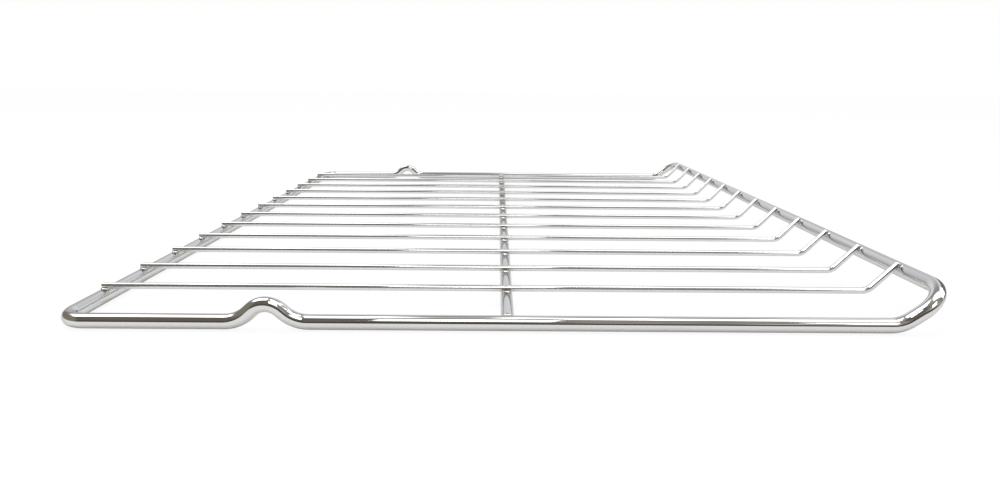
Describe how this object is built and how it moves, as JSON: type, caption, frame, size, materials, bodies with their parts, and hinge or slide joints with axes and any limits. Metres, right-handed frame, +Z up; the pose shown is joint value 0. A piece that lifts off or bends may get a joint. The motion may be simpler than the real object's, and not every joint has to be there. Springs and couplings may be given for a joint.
{
  "type": "oven shelf rack",
  "caption": "Chrome wire oven shelf: a bent rod frame with a stop hump in each side rail and a raised end lip, a centre brace, and thin parallel wires welded on top.",
  "frame": {"origin": "middle of the outline, on the plane that the side rails stand on", "axes": "+X along the wires from the level end to the raised lip, +Y across the wires, +Z up"},
  "size_m": [0.37, 0.455, 0.0213],
  "materials": {
    "chrome_rod": "bright plated rod",
    "chrome_wire": "bright plated wire"
  },
  "bodies": {
    "root": {"outer_frame": "chrome_rod", "centre_brace": "chrome_rod", "wire_01": "chrome_wire", "wire_02": "chrome_wire", "wire_03": "chrome_wire", "wire_04": "chrome_wire", "wire_05": "chrome_wire", "wire_06": "chrome_wire", "wire_07": "chrome_wire", "wire_08": "chrome_wire", "wire_09": "chrome_wire", "wire_10": "chrome_wire", "wire_11": "chrome_wire", "wire_12": "chrome_wire"}
  },
  "joints": []
}
